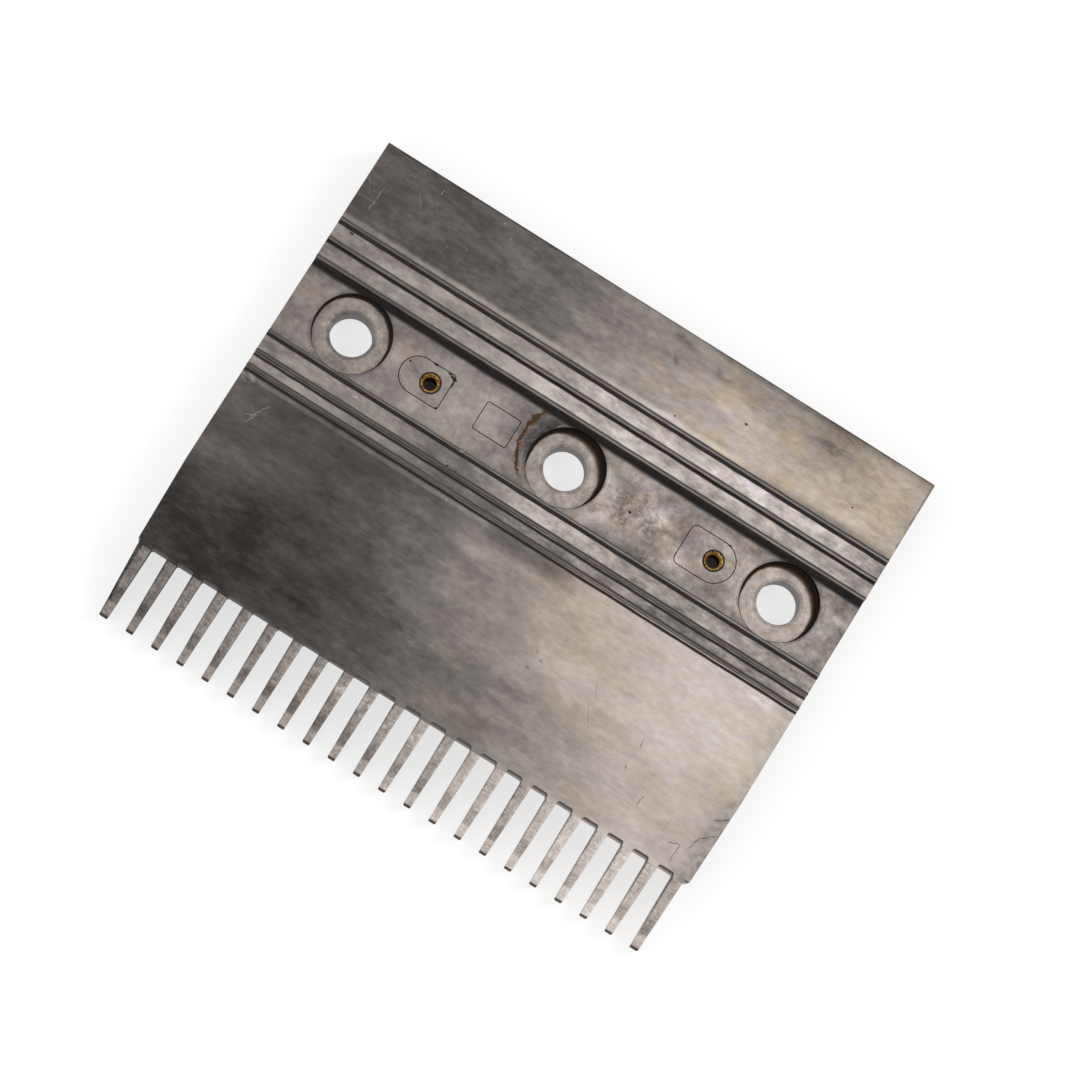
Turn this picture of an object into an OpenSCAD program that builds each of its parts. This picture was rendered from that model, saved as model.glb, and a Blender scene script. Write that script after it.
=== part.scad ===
// Escalator comb plate: a die-cast aluminium plate with a row of comb teeth along its front edge.
// The plate has three counterbored screw holes and two threaded brass inserts in a sunk channel.
// Origin: axis of the middle screw hole, on the seat face. +X along the tooth row, +Y to the rear, +Z up.

/* [Tooth row] */
// Number of comb teeth
tooth_count = 22; // [14:1:30]
// Distance from tooth to tooth, the pitch of the step grooves
tooth_pitch = 9.068; // [8:0.001:11]
// Length of a tooth from its root to its tip
tooth_l = 25.4; // [18:0.1:40]
// Width of a tooth at its root
tooth_root_w = 3.65; // [3:0.05:4.5]
// Width of a tooth at its tip
tooth_tip_w = 3; // [2.5:0.05:3]
// Extra width at the root of the leftmost tooth, on its outer side
end_tooth_flare = 1; // [0:0.1:1.5]
// Height of a tooth at its tip
tooth_tip_h = 4.9; // [3.5:0.1:6]
// Length of the short facet at the root of a tooth
root_facet_l = 4; // [2:0.5:6]
// Drop of that facet
root_facet_drop = 0.9; // [0.2:0.1:1.5]
// Length of the steep facet behind the tip facet
steep_facet_l = 4.8; // [3:0.1:6]
// Drop of the steep facet
steep_facet_drop = 2.4; // [1:0.1:3]
// Length of the flatter facet at the tip
tip_facet_l = 5; // [3:0.1:8]
// Drop of the tip facet
tip_facet_drop = 0.9; // [0.3:0.1:1.5]
// Length of the broken edge at the tip
tip_edge_l = 0.5; // [0.2:0.1:1]
// Drop of the broken edge at the tip
tip_edge_drop = 0.7; // [0.3:0.1:1.2]
// Radius of the rounded lower corner at the tip
tip_r = 1.9; // [0.5:0.1:2]
// Radius in the corners at the root of each gap
gap_root_r = 0.8; // [0.3:0.1:1.2]
// How much narrower each flank of a tooth gets for each millimetre down
tooth_draft = 0.03; // [0:0.005:0.05]

/* [Plate] */
// Gap left to the next plate, for both sides together
side_gap = 0.3; // [0:0.1:2]
// Length of the plate from the tooth roots to the rear edge
plate_l = 145; // [141:0.5:180]
// Height of the treads between the raised ribs, above the seat
land_h = 13.4; // [13:0.1:18]
// How much the rear band stands above the treads
band_step = 0.4; // [0.1:0.1:1.5]
// Length of the slope from the rear band down to the treads
band_slope_l = 1.7; // [0.4:0.1:2.5]
// Length of the front stretch that slopes down to the tooth roots
front_slope_l = 28; // [15:0.5:45]
// Drop of the front stretch at the tooth roots
front_drop = 1; // [0:0.1:2]
// How much each side steps in along the front stretch
front_inset = 0.9; // [0:0.1:1]
// Chamfer on the top rear edge
rear_chamfer = 0.5; // [0.1:0.1:2]

/* [Ribs and channel] */
// Height of the raised ribs above the treads
rib_h = 0.9; // [0.4:0.1:1.5]
// Width of a rib at its top
rib_top_w = 0.9; // [0.6:0.1:1.5]
// Width of the sloping flank on each side of a rib
rib_flank_w = 0.2; // [0.1:0.05:0.4]
// Centre of the rib in front of the channel, from the tooth roots
channel_front_y = 75; // [74.5:0.5:75.5]
// Centre of the rib behind the channel, from the tooth roots
channel_rear_y = 102.65; // [102.4:0.05:104]
// Depth of the channel below the treads
channel_depth = 1.7; // [1:0.1:2.5]
// Rib spacing of the first tread in front of the channel
front_tread_1 = 7.05; // [5:0.05:9]
// Rib spacing of the second tread in front of the channel
front_tread_2 = 5.15; // [4:0.05:9]
// Rib spacing of the first tread behind the channel
rear_tread_1 = 6.7; // [5:0.05:8]
// Rib spacing of the second tread behind the channel
rear_tread_2 = 7.25; // [5:0.05:9]
// From the last rib to the foot of the rear band
band_gap = 1; // [1:0.1:4]

/* [Screw holes] */
// Distance from the middle screw hole to each outer one
hole_pitch = 77.5; // [74:0.5:80]
// Distance of the screw hole row from the tooth roots
hole_row_y = 88.2; // [88:0.1:89.5]
// Diameter of the screw holes, clearance for M12
hole_d = 13.5; // [11:0.1:15]
// Diameter of the counterbores
cbore_d = 25; // [22:0.5:25.5]
// Depth of the counterbores below the channel floor
cbore_depth = 2.5; // [1:0.1:4]
// Diameter of the bosses round the screw holes on the underside
hole_boss_d = 30; // [29:0.5:33]

/* [Threaded inserts] */
// Place of the left insert, from the middle hole towards the left
insert_left_x = 49.1; // [46:0.1:54]
// Place of the right insert, from the middle hole towards the right
insert_right_x = 53.6; // [50:0.1:56]
// Outside diameter of an insert
insert_d = 6.4; // [5.8:0.1:8]
// Length of an insert
insert_l = 8; // [5:0.1:9]
// Core diameter of the M5 thread in an insert
thread_core_d = 4.2; // [3.3:0.1:4.6]
// Width and depth of the retaining groove round an insert
insert_groove = 0.4; // [0.2:0.05:0.5]
// Radial room round an insert in its pocket
insert_fit = 0.02; // [0.01:0.01:0.1]
// Diameter of the boss under an insert
insert_boss_d = 13; // [12:0.5:14]

/* [Mould witness lines] */
// Width of the hairlines left by the mould's own inserts
witness_w = 0.3; // [0.2:0.05:0.6]
// Depth of those hairlines
witness_depth = 0.25; // [0.1:0.05:0.5]
// Length of the D-shaped outline round the left insert
left_mark_l = 16.6; // [14:0.1:20]
// Height of the D-shaped outline round the left insert
left_mark_h = 12.4; // [10:0.1:14]
// From the left insert to the flat end of its outline
left_mark_flat = 6; // [4:0.1:8]
// Radius of the two corners of that outline
left_mark_r = 1; // [0.8:0.1:2]
// Length of the D-shaped outline round the right insert
right_mark_l = 18.4; // [15:0.1:20]
// Height of the D-shaped outline round the right insert
right_mark_h = 14.1; // [11:0.1:15]
// From the right insert to the flat end of its outline
right_mark_flat = 11.2; // [8:0.1:12]
// Radius of the two corners of that outline
right_mark_r = 2; // [0.8:0.1:3]
// Length of the bare rectangular outline
box_mark_l = 12.3; // [8:0.1:15]
// Height of the bare rectangular outline
box_mark_h = 10.1; // [6:0.1:14]
// Centre of the rectangular outline, from the middle hole towards the left
box_mark_x = 25.1; // [23:0.1:27]
// Corner radius of the rectangular outline
box_mark_r = 0.8; // [0.7:0.1:2]

/* [Underside] */
// Number of pockets side by side
pocket_columns = 5; // [3:1:8]
// Width of the webs between the pockets
web_w = 4.2; // [3:0.1:8]
// Wall along each side edge
side_wall = 4.6; // [4:0.1:8]
// Corner radius of the pockets
pocket_r = 2.5; // [1:0.1:4]
// Thickness of metal over the pockets
roof_t = 5; // [4:0.1:7]
// Depth of the shallow relief under the screw hole row
relief_depth = 3; // [0.5:0.1:3.5]
// Solid length behind the tooth roots
nose_l = 15; // [8:0.5:25]
// Wall along the rear edge
rear_wall = 7; // [4:0.5:12]
// Cross walls in front of and behind the screw hole row
cross_wall = 5; // [3:0.5:8]

/* [Hidden] */
$fn = 64;
lap = 1;
cut = 0.5;

row_w = tooth_count * tooth_pitch;
plate_w = row_w - side_gap;
half_w = plate_w / 2;
nose_half_w = half_w - front_inset;
rib_z = land_h + rib_h;
band_z = land_h + band_step;
floor_z = land_h - channel_depth;
seat_z = floor_z - cbore_depth;
root_z = land_h - front_drop;
top_z = rib_z + lap;

// Places along the plate, counted from the tooth roots
front_ribs = [channel_front_y - front_tread_1 - front_tread_2, channel_front_y - front_tread_1];
rear_ribs = [channel_rear_y + rear_tread_1, channel_rear_y + rear_tread_1 + rear_tread_2];
rib_half = rib_top_w / 2;
rib_foot = rib_half + rib_flank_w;
band_y = rear_ribs[1] + band_gap;

// Places in the frame of the finished part
insert_places = [-insert_left_x, insert_right_x];
screw_places = [-hole_pitch, 0, hole_pitch];
left_mark_x = -insert_left_x + left_mark_flat - left_mark_l / 2;
right_mark_x = insert_right_x - right_mark_flat + right_mark_l / 2;

function tooth_x(i) = (i - (tooth_count - 1) / 2) * tooth_pitch;
function gap_x(i) = tooth_x(i) + tooth_pitch / 2;

// Corner points of one raised rib; the foot heights differ beside the channel
function rib_points(y, front_z, rear_z) = [
    [y - rib_foot, front_z],
    [y - rib_half, rib_z],
    [y + rib_half, rib_z],
    [y + rib_foot, rear_z]
];

// Extrudes a section drawn in Y and Z along X, centred
module along_x(width) {
    translate([-width / 2, 0, 0]) rotate([90, 0, 90]) linear_extrude(width) children();
}

// Extrudes a section drawn in X and Z from y = start towards the front
module along_front(start, length) {
    translate([0, start, 0]) rotate([90, 0, 0]) linear_extrude(length) children();
}

module rounded_rect(l, h, r) {
    square([l - 2 * r, h], center = true);
    square([l, h - 2 * r], center = true);
    for (sx = [-1, 1], sy = [-1, 1])
        translate([sx * (l / 2 - r), sy * (h / 2 - r)]) circle(r);
}

// Section of the plate from the tooth roots to the rear edge
module plate_section() {
    polygon(concat(
        [[0, 0], [0, root_z], [front_slope_l, land_h]],
        rib_points(front_ribs[0], land_h, land_h),
        rib_points(front_ribs[1], land_h, land_h),
        rib_points(channel_front_y, land_h, floor_z),
        rib_points(channel_rear_y, floor_z, land_h),
        rib_points(rear_ribs[0], land_h, land_h),
        rib_points(rear_ribs[1], land_h, land_h),
        [[band_y, land_h], [band_y + band_slope_l, band_z]],
        [[plate_l - rear_chamfer, band_z], [plate_l, band_z - rear_chamfer], [plate_l, 0]]
    ));
}

// Outline of the plate seen from above, with the sides stepping in towards the front
module plate_outline() {
    polygon([
        [-nose_half_w, 0], [nose_half_w, 0], [half_w, front_slope_l], [half_w, plate_l],
        [-half_w, plate_l], [-half_w, front_slope_l]
    ]);
}

// Side view of a tooth: four facets on top and a rounded tip
module tooth_side() {
    facet_y = -(tooth_l - tip_facet_l);
    facet_h = tooth_tip_h + tip_facet_drop;
    difference() {
        polygon([
            [lap, 0], [lap, root_z - lap], [0, root_z], [-root_facet_l, root_z - root_facet_drop],
            [facet_y + steep_facet_l, facet_h + steep_facet_drop], [facet_y, facet_h],
            [-tooth_l + tip_edge_l, tooth_tip_h], [-tooth_l, tooth_tip_h - tip_edge_drop], [-tooth_l, 0]
        ]);
        translate([-tooth_l - cut, -cut]) square([tip_r + cut, tip_r + cut]);
    }
    translate([-tooth_l + tip_r, tip_r]) circle(tip_r);
}

// The whole tooth row seen from above, before the gaps are cut
module row_outline() {
    tip_half = tooth_tip_w / 2;
    root_half = tooth_root_w / 2;
    first = tooth_x(0);
    last = tooth_x(tooth_count - 1);
    polygon([
        [first - root_half - end_tooth_flare, lap], [first - root_half - end_tooth_flare, 0],
        [first - tip_half, -tooth_l], [first - tip_half, -tooth_l - lap],
        [last + tip_half, -tooth_l - lap], [last + tip_half, -tooth_l],
        [last + root_half, 0], [last + root_half, lap]
    ]);
}

// One gap between two teeth, seen from above
module gap_outline() {
    root_half = (tooth_pitch - tooth_root_w) / 2;
    tip_half = (tooth_pitch - tooth_tip_w) / 2;
    out = tooth_l + 2 * lap;
    polygon([
        [-root_half + gap_root_r, 0], [root_half - gap_root_r, 0], [root_half, -gap_root_r],
        [tip_half, -out], [-tip_half, -out], [-root_half, -gap_root_r]
    ]);
    for (s = [-1, 1])
        translate([s * (root_half - gap_root_r), -gap_root_r]) circle(gap_root_r);
}

// The same gap seen from the front, wider towards the seat because the flanks have draft
module gap_draft() {
    top_half = (tooth_pitch - tooth_root_w) / 2;
    foot_half = top_half + root_z * tooth_draft;
    polygon([[-foot_half, -lap], [foot_half, -lap], [top_half, root_z], [-top_half, root_z]]);
}

module tooth_row() {
    difference() {
        intersection() {
            along_x(plate_w) tooth_side();
            translate([0, 0, -lap]) linear_extrude(top_z + lap) row_outline();
        }
        for (i = [0 : tooth_count - 2])
            translate([gap_x(i), 0, 0]) {
                translate([0, 0, -lap]) linear_extrude(top_z + 2 * lap) gap_outline();
                along_front(-gap_root_r, tooth_l + 2 * lap) gap_draft();
            }
    }
}

module screw_hole() {
    translate([0, 0, -lap]) cylinder(h = top_z + 2 * lap, d = hole_d);
    translate([0, 0, seat_z]) cylinder(h = top_z, d = cbore_d);
}

module insert_pocket() {
    translate([0, 0, floor_z - insert_l]) cylinder(h = top_z, d = insert_d + 2 * insert_fit);
}

// D-shaped outline with its round end towards +X
module d_shape(l, h, r) {
    translate([l / 2 - h / 2, 0]) circle(d = h);
    translate([-h / 4 + r / 2, 0]) square([l - h / 2 - r, h], center = true);
    translate([-l / 2 + r / 2, 0]) square([r, h - 2 * r], center = true);
    for (s = [-1, 1])
        translate([-l / 2 + r, s * (h / 2 - r)]) circle(r);
}

module d_groove(l, h, r) {
    translate([0, 0, floor_z - witness_depth]) linear_extrude(top_z) difference() {
        d_shape(l, h, r);
        d_shape(l - 2 * witness_w, h - 2 * witness_w, r - witness_w);
    }
}

module box_groove(l, h, r) {
    translate([0, 0, floor_z - witness_depth]) linear_extrude(top_z) difference() {
        rounded_rect(l, h, r);
        rounded_rect(l - 2 * witness_w, h - 2 * witness_w, r - witness_w);
    }
}

module witness_lines() {
    translate([left_mark_x, 0, 0]) rotate([0, 0, 180]) d_groove(left_mark_l, left_mark_h, left_mark_r);
    translate([right_mark_x, 0, 0]) d_groove(right_mark_l, right_mark_h, right_mark_r);
    translate([-box_mark_x, 0, 0]) box_groove(box_mark_l, box_mark_h, box_mark_r);
}

// A row of equal pockets in the underside, between the side walls
module pocket_row(y0, y1, columns, roof) {
    pocket_w = (2 * nose_half_w - 2 * side_wall - (columns - 1) * web_w) / columns;
    for (i = [0 : columns - 1])
        translate([(i - (columns - 1) / 2) * (pocket_w + web_w), (y0 + y1) / 2, -lap])
            linear_extrude(roof + lap) rounded_rect(pocket_w, y1 - y0, pocket_r);
}

module bosses() {
    for (x = screw_places)
        translate([x, 0, -2 * lap]) cylinder(h = top_z, d = hole_boss_d);
    for (x = insert_places)
        translate([x, 0, -2 * lap]) cylinder(h = top_z, d = insert_boss_d);
}

module underside_pockets() {
    front = channel_front_y - hole_row_y;
    rear = channel_rear_y - hole_row_y;
    pocket_row(nose_l - hole_row_y, front - cross_wall, pocket_columns, land_h - roof_t);
    pocket_row(rear + cross_wall, plate_l - rear_wall - hole_row_y, pocket_columns, land_h - roof_t);
    difference() {
        pocket_row(front, rear, 1, relief_depth);
        bosses();
    }
}

module comb_plate() {
    color("darkgray") difference() {
        translate([0, -hole_row_y, 0]) union() {
            intersection() {
                along_x(plate_w) plate_section();
                translate([0, 0, -lap]) linear_extrude(top_z + lap) plate_outline();
            }
            tooth_row();
        }
        for (x = screw_places)
            translate([x, 0, 0]) screw_hole();
        for (x = insert_places)
            translate([x, 0, 0]) insert_pocket();
        witness_lines();
        underside_pockets();
    }
}

// Brass bush with two retaining grooves round it and a threaded core
module threaded_insert() {
    difference() {
        cylinder(h = insert_l, d = insert_d);
        translate([0, 0, -cut]) cylinder(h = insert_l + 2 * cut, d = thread_core_d);
        translate([0, 0, insert_l - insert_groove])
            cylinder(h = 2 * insert_groove, d1 = thread_core_d, d2 = thread_core_d + 4 * insert_groove);
        for (k = [1, 2])
            translate([0, 0, k * insert_l / 3 - insert_groove / 2]) difference() {
                cylinder(h = insert_groove, d = insert_d + lap);
                translate([0, 0, -cut]) cylinder(h = insert_groove + 2 * cut, d = insert_d - 2 * insert_groove);
            }
    }
}

module left_threaded_insert() {
    color("darkgoldenrod") translate([-insert_left_x, 0, floor_z - insert_l]) threaded_insert();
}

module right_threaded_insert() {
    color("darkgoldenrod") translate([insert_right_x, 0, floor_z - insert_l]) threaded_insert();
}

comb_plate();
left_threaded_insert();
right_threaded_insert();
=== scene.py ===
import bmesh
import bpy
import math
import random

from mathutils import Matrix, Vector


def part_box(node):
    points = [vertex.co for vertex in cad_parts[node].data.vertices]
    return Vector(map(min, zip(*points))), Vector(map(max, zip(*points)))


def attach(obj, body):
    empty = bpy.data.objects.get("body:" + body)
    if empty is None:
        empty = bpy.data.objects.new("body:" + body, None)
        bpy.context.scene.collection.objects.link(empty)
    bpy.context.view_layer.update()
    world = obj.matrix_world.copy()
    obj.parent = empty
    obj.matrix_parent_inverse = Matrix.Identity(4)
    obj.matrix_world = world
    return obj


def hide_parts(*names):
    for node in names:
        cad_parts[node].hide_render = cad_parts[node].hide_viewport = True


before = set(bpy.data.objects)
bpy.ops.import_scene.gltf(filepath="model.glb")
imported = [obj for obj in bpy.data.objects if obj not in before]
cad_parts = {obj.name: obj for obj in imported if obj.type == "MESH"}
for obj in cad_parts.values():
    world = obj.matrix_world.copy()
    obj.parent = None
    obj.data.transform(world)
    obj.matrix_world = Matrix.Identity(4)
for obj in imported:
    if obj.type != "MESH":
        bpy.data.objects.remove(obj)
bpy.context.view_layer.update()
random.seed(7)

# Places and sizes below are in millimetres, in the frame of the part
MM = 0.001
SPARE = 2
low, high = [Vector(c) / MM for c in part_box("comb_plate")]
left_low, left_high = [Vector(c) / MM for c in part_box("left_threaded_insert")]
right_low, right_high = [Vector(c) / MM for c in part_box("right_threaded_insert")]

# Heights and edges of the plate
RIB_HEIGHT = 0.9
BAND_RISE = 0.4
CBORE_DEPTH = 2.5
NOSE_DROP = 1
TOOTH_LENGTH = 25.4
SLOPE_LENGTH = 28
ROOT_STEP = 1.4
NOSE_INSET = 0.9
REAR_CHAMFER = 0.5
EDGE_R = 0.15
HALF_W = high.x
TIP_Y = low.y
REAR_Y = high.y
RIB_Z = high.z
TREAD_Z = RIB_Z - RIB_HEIGHT
BAND_Z = TREAD_Z + BAND_RISE
FLOOR_Z = left_high.z
SEAT_Z = FLOOR_Z - CBORE_DEPTH
ROOT_Z = TREAD_Z - NOSE_DROP
ROOT_Y = TIP_Y + TOOTH_LENGTH
SLOPE_START_Y = ROOT_Y - ROOT_STEP
SLOPE_END_Y = ROOT_Y + SLOPE_LENGTH

# Ribs, from the front one to the rear one, and the line rubbed bright on each
RIB_TOP_W = 0.9
RIB_FLANK_W = 0.2
RIB_YS = (-25.4, -20.25, -13.2, 14.45, 21.15, 28.4)
RUBBED_YS = (-25.95, -20.75, -13.4, 14.28, 21.2, 28.2)
FRONT_RIB_Y, REAR_RIB_Y = RIB_YS[2], RIB_YS[3]
BAND_FOOT_Y = RIB_YS[5] + 1
BAND_TOP_Y = BAND_FOOT_Y + 1.7

# Tooth row; the profile gives distances from the tip and heights
TOOTH_COUNT = 22
TOOTH_PITCH = 9.068
END_TOOTH_X = (TOOTH_COUNT - 1) / 2 * TOOTH_PITCH
TOOTH_ROOT_W = 3.65
TOOTH_TIP_W = 3
TOOTH_DRAFT = 0.03
END_TOOTH_FLARE = 1
GAP_ROOT_R = 0.8
TOOTH_TIP_R = 1.9
TOOTH_EDGE_R = 0.2
TOOTH_PROFILE = ((0, 4.2), (0.5, 4.9), (5, 5.8), (9.8, 8.2), (21.4, 11.5))

# Screw holes and inserts
HOLE_XS = (-77.5, 0, 77.5)
HOLE_R = 6.75
CBORE_R = 12.5
INSERT_LEFT_X = (left_low.x + left_high.x) / 2
INSERT_RIGHT_X = (right_low.x + right_high.x) / 2
INSERT_XS = (INSERT_LEFT_X, INSERT_RIGHT_X)
INSERT_R = (left_high.x - left_low.x) / 2
INSERT_ROOM = 0.02
INSERT_GROOVE = 0.4
THREAD_PITCH = 0.8
THREAD_CORE_R = 2.1

# Underside
SIDE_WALL = 4.6
INNER_HALF_W = HALF_W - NOSE_INSET - SIDE_WALL
WEB_W = 4.2
POCKET_COLUMNS = 5
POCKET_R = 2.5
POCKET_ROOF_Z = TREAD_Z - 5
FRONT_POCKETS = (ROOT_Y + 15, FRONT_RIB_Y - 5)
REAR_POCKETS = (REAR_RIB_Y + 5, REAR_Y - 7)
RELIEF_Z = 3
HOLE_BOSS_R = 15
INSERT_BOSS_R = 6.5

# Hairlines round the mould's own inserts: centre x, length, width, corner radius, side of the round end
WITNESS_W = 0.3
WITNESS_DEPTH = 0.25
WITNESS_MARKS = (
    (INSERT_LEFT_X - 2.3, 16.6, 12.4, 1, -1),
    (INSERT_RIGHT_X - 2, 18.4, 14.1, 2, 1),
    (-25.1, 12.3, 10.1, 0.8, 0),
)

# Angles past which an edge counts as sharp, and past which its shading breaks
SHARP = math.radians(33)
SMOOTH = math.radians(32)

# Studio; powers in watts, the rest as shares of full white
KEY_POWER = 6
FILL_POWER = 4
CEILING = 0.86
AMBIENT = 0.5
GLOW = 0.68
PAPER = 0.52
LENS = 142.8
CAMERA_PLACE = (-7.7, -234.4, 1306.8)
CAMERA_TURN = (7.575, -5.372, 31.708)


def mm(x, y, z):
    """A place or a size in metres."""
    return Vector((x, y, z)) * MM


def take(obj):
    """Makes one object the only one selected."""
    bpy.ops.object.select_all(action="DESELECT")
    bpy.context.view_layer.objects.active = obj
    obj.select_set(True)
    return obj


def fresh(add, sizes=None, **settings):
    """Adds a basic shape, and puts its place, turn and scale into its mesh."""
    bpy.ops.object.select_all(action="DESELECT")
    add(**settings)
    if sizes:
        bpy.ops.transform.resize(value=sizes)
    bpy.ops.object.transform_apply(location=True, rotation=True, scale=True)
    return bpy.context.active_object


def open_mesh(obj):
    """Opens one object in edit mode with nothing selected."""
    take(obj)
    bpy.ops.object.mode_set(mode="EDIT")
    bpy.ops.mesh.select_all(action="DESELECT")


def close_mesh():
    bpy.ops.object.mode_set(mode="OBJECT")
    return bpy.context.active_object


def pick(kind, test):
    """In the open mesh, selects only the corners, edges or faces that pass a test."""
    bpy.ops.mesh.select_mode(type=kind)
    bpy.ops.mesh.select_all(action="DESELECT")
    mesh = bpy.context.edit_object.data
    shape = bmesh.from_edit_mesh(mesh)
    parts = {"VERT": shape.verts, "EDGE": shape.edges, "FACE": shape.faces}[kind]
    for part in parts:
        if test(part):
            part.select_set(True)
    shape.select_flush_mode()
    bmesh.update_edit_mesh(mesh)


def pick_all():
    bpy.ops.mesh.select_all(action="SELECT")


def bevel(test, radius, segments, **settings):
    """In the open mesh, breaks or rounds the edges that pass a test."""
    pick("EDGE", test)
    bpy.ops.mesh.bevel(offset=radius * MM, segments=segments, **settings)


def middle(part):
    """Middle of a corner, an edge or a face, in mm."""
    corners = part.verts if hasattr(part, "verts") else [part]
    return sum((v.co for v in corners), Vector()) / len(corners) / MM


def runs(edge):
    """Direction of an edge, without its sign."""
    way = (edge.verts[1].co - edge.verts[0].co).normalized()
    return Vector([abs(c) for c in way])


def sharp(edge):
    return len(edge.link_faces) == 2 and edge.calc_face_angle() > SHARP


def near(a, b, room=0.01):
    return abs(a - b) < room


def upright(edge):
    return runs(edge).z > 0.9


def crosswise(edge, y, z):
    """True for an edge along X at one y and z."""
    return near(middle(edge).y, y) and near(middle(edge).z, z) and runs(edge).x > 0.9


def shift(x, y, z):
    bpy.ops.transform.translate(value=mm(x, y, z))


def stretch(x, y, z, centre):
    bpy.ops.transform.resize(value=(x, y, z), center_override=mm(*centre))


def lengthen(along, grow=1):
    """Draws the picked faces out along Z, and widens their new end about the Z axis."""
    bpy.ops.mesh.extrude_region_move(TRANSFORM_OT_translate={"value": mm(0, 0, along)})
    stretch(grow, grow, 1, (0, 0, 0))


def merge_close():
    """In the open mesh, merges corners that lie within a few microns of each other."""
    pick_all()
    bpy.ops.mesh.remove_doubles(threshold=0.005 * MM)


def face_outwards():
    pick_all()
    bpy.ops.mesh.normals_make_consistent(inside=False)


def block(x0, x1, y0, y1, z0, z1):
    """A block between two corners."""
    centre = mm(x0 + x1, y0 + y1, z0 + z1) / 2
    scale = mm(x1 - x0, y1 - y0, z1 - z0)
    return fresh(bpy.ops.mesh.primitive_cube_add, size=1, location=centre, scale=scale)


def drum(x, y, radius, z0, z1, sides=96):
    """A round bar between two heights."""
    sizes = {"vertices": sides, "radius": radius * MM, "depth": (z1 - z0) * MM}
    return fresh(bpy.ops.mesh.primitive_cylinder_add, location=mm(x, y, (z0 + z1) / 2), **sizes)


def copies(obj, xs):
    """Copies one shape to each place along X, and joins the copies."""
    made = []
    for x in xs:
        copy = obj.copy()
        copy.data = obj.data.copy()
        copy.data.transform(Matrix.Translation(mm(x, 0, 0)))
        bpy.context.collection.objects.link(copy)
        made.append(copy)
    bpy.data.objects.remove(obj)
    return joined(made)


def joined(objs):
    take(objs[0])
    for obj in objs:
        obj.select_set(True)
    bpy.ops.object.join()
    return bpy.context.active_object


def finish_with(obj, kind, **settings):
    """Adds one modifier and applies it."""
    take(obj)
    modifier = obj.modifiers.new(kind.lower(), kind)
    for name, value in settings.items():
        setattr(modifier, name, value)
    bpy.ops.object.modifier_apply(modifier=modifier.name)


def cut(obj, cutter, operation="DIFFERENCE", solver="MANIFOLD"):
    """Cuts one shape out of another, or adds it."""
    finish_with(obj, "BOOLEAN", object=cutter, operation=operation, solver=solver)
    bpy.data.objects.remove(cutter)


def smooth(obj):
    take(obj)
    bpy.ops.object.shade_smooth_by_angle(angle=SMOOTH)


# Plate


def rib_rows(y):
    """Rows along one rib: front foot, both edges of its top, rear foot."""
    half = RIB_TOP_W / 2
    foot = half + RIB_FLANK_W
    front_z = FLOOR_Z if y == REAR_RIB_Y else TREAD_Z
    rear_z = FLOOR_Z if y == FRONT_RIB_Y else TREAD_Z
    return [(y - foot, front_z), (y - half, RIB_Z), (y + half, RIB_Z), (y + foot, rear_z)]


def top_rows():
    """Height of the top at each line across it, from the tooth tips to the rear edge."""
    rows = [(TIP_Y + along, z) for along, z in TOOTH_PROFILE]
    rows += [(SLOPE_START_Y, ROOT_Z), (SLOPE_END_Y, TREAD_Z)]
    for y in RIB_YS:
        rows += rib_rows(y)
    rows += [(BAND_FOOT_Y, TREAD_Z), (BAND_TOP_Y, BAND_Z)]
    rows += [(REAR_Y - REAR_CHAMFER, BAND_Z), (REAR_Y, BAND_Z - REAR_CHAMFER)]
    return rows


def bare_plate():
    """Plate and teeth in one, cut across at each change of height and then set to height."""
    plate = block(-HALF_W, HALF_W, TIP_Y, REAR_Y, 0, TREAD_Z)
    open_mesh(plate)
    rows = top_rows()
    for y, _ in rows[1:-1]:
        pick("FACE", lambda f: f.normal.z > 0.9 or y in (SLOPE_START_Y, SLOPE_END_Y))
        bpy.ops.mesh.bisect(plane_co=mm(0, y, 0), plane_no=(0, 1, 0))
    for y, z in rows:
        pick("VERT", lambda v: near(v.co.y / MM, y) and near(v.co.z / MM, TREAD_Z))
        shift(0, 0, z - TREAD_Z)
    for side in (-1, 1):
        pick("VERT", lambda v: v.co.x * side > 0 and v.co.y / MM < SLOPE_START_Y + 0.1)
        shift(-side * NOSE_INSET, 0, 0)
    bevel(lambda e: crosswise(e, TIP_Y, 0), TOOTH_TIP_R, 6)
    bevel(lambda e: crosswise(e, BAND_TOP_Y, BAND_Z), 0.8, 4)
    side_x = HALF_W - NOSE_INSET - 0.1

    def outer(edge):
        place = middle(edge)
        return place.y > ROOT_Y + 0.01 or (abs(place.x) > side_x and runs(edge).y > 0.5)

    bevel(lambda e: sharp(e) and outer(e), EDGE_R, 2)
    merge_close()
    return close_mesh()


def gap_cutter():
    """One gap between two teeth, in the middle of the row: wider below and towards the tips."""
    half = (TOOTH_PITCH - TOOTH_ROOT_W) / 2
    tip_half = (TOOTH_PITCH - TOOTH_TIP_W) / 2
    end = TIP_Y - SPARE
    foot_half = half + (TREAD_Z + SPARE) * TOOTH_DRAFT
    gap = block(-half, half, end, ROOT_Y, -SPARE, TREAD_Z)
    open_mesh(gap)
    pick("VERT", lambda v: near(v.co.y / MM, end))
    stretch(tip_half / half, 1, 1, (0, end, 0))
    pick("VERT", lambda v: v.co.z < 0)
    stretch(foot_half / half, 1, 1, (0, 0, 0))
    bevel(lambda e: near(middle(e).y, ROOT_Y) and upright(e), GAP_ROOT_R, 5)
    return close_mesh()


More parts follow.
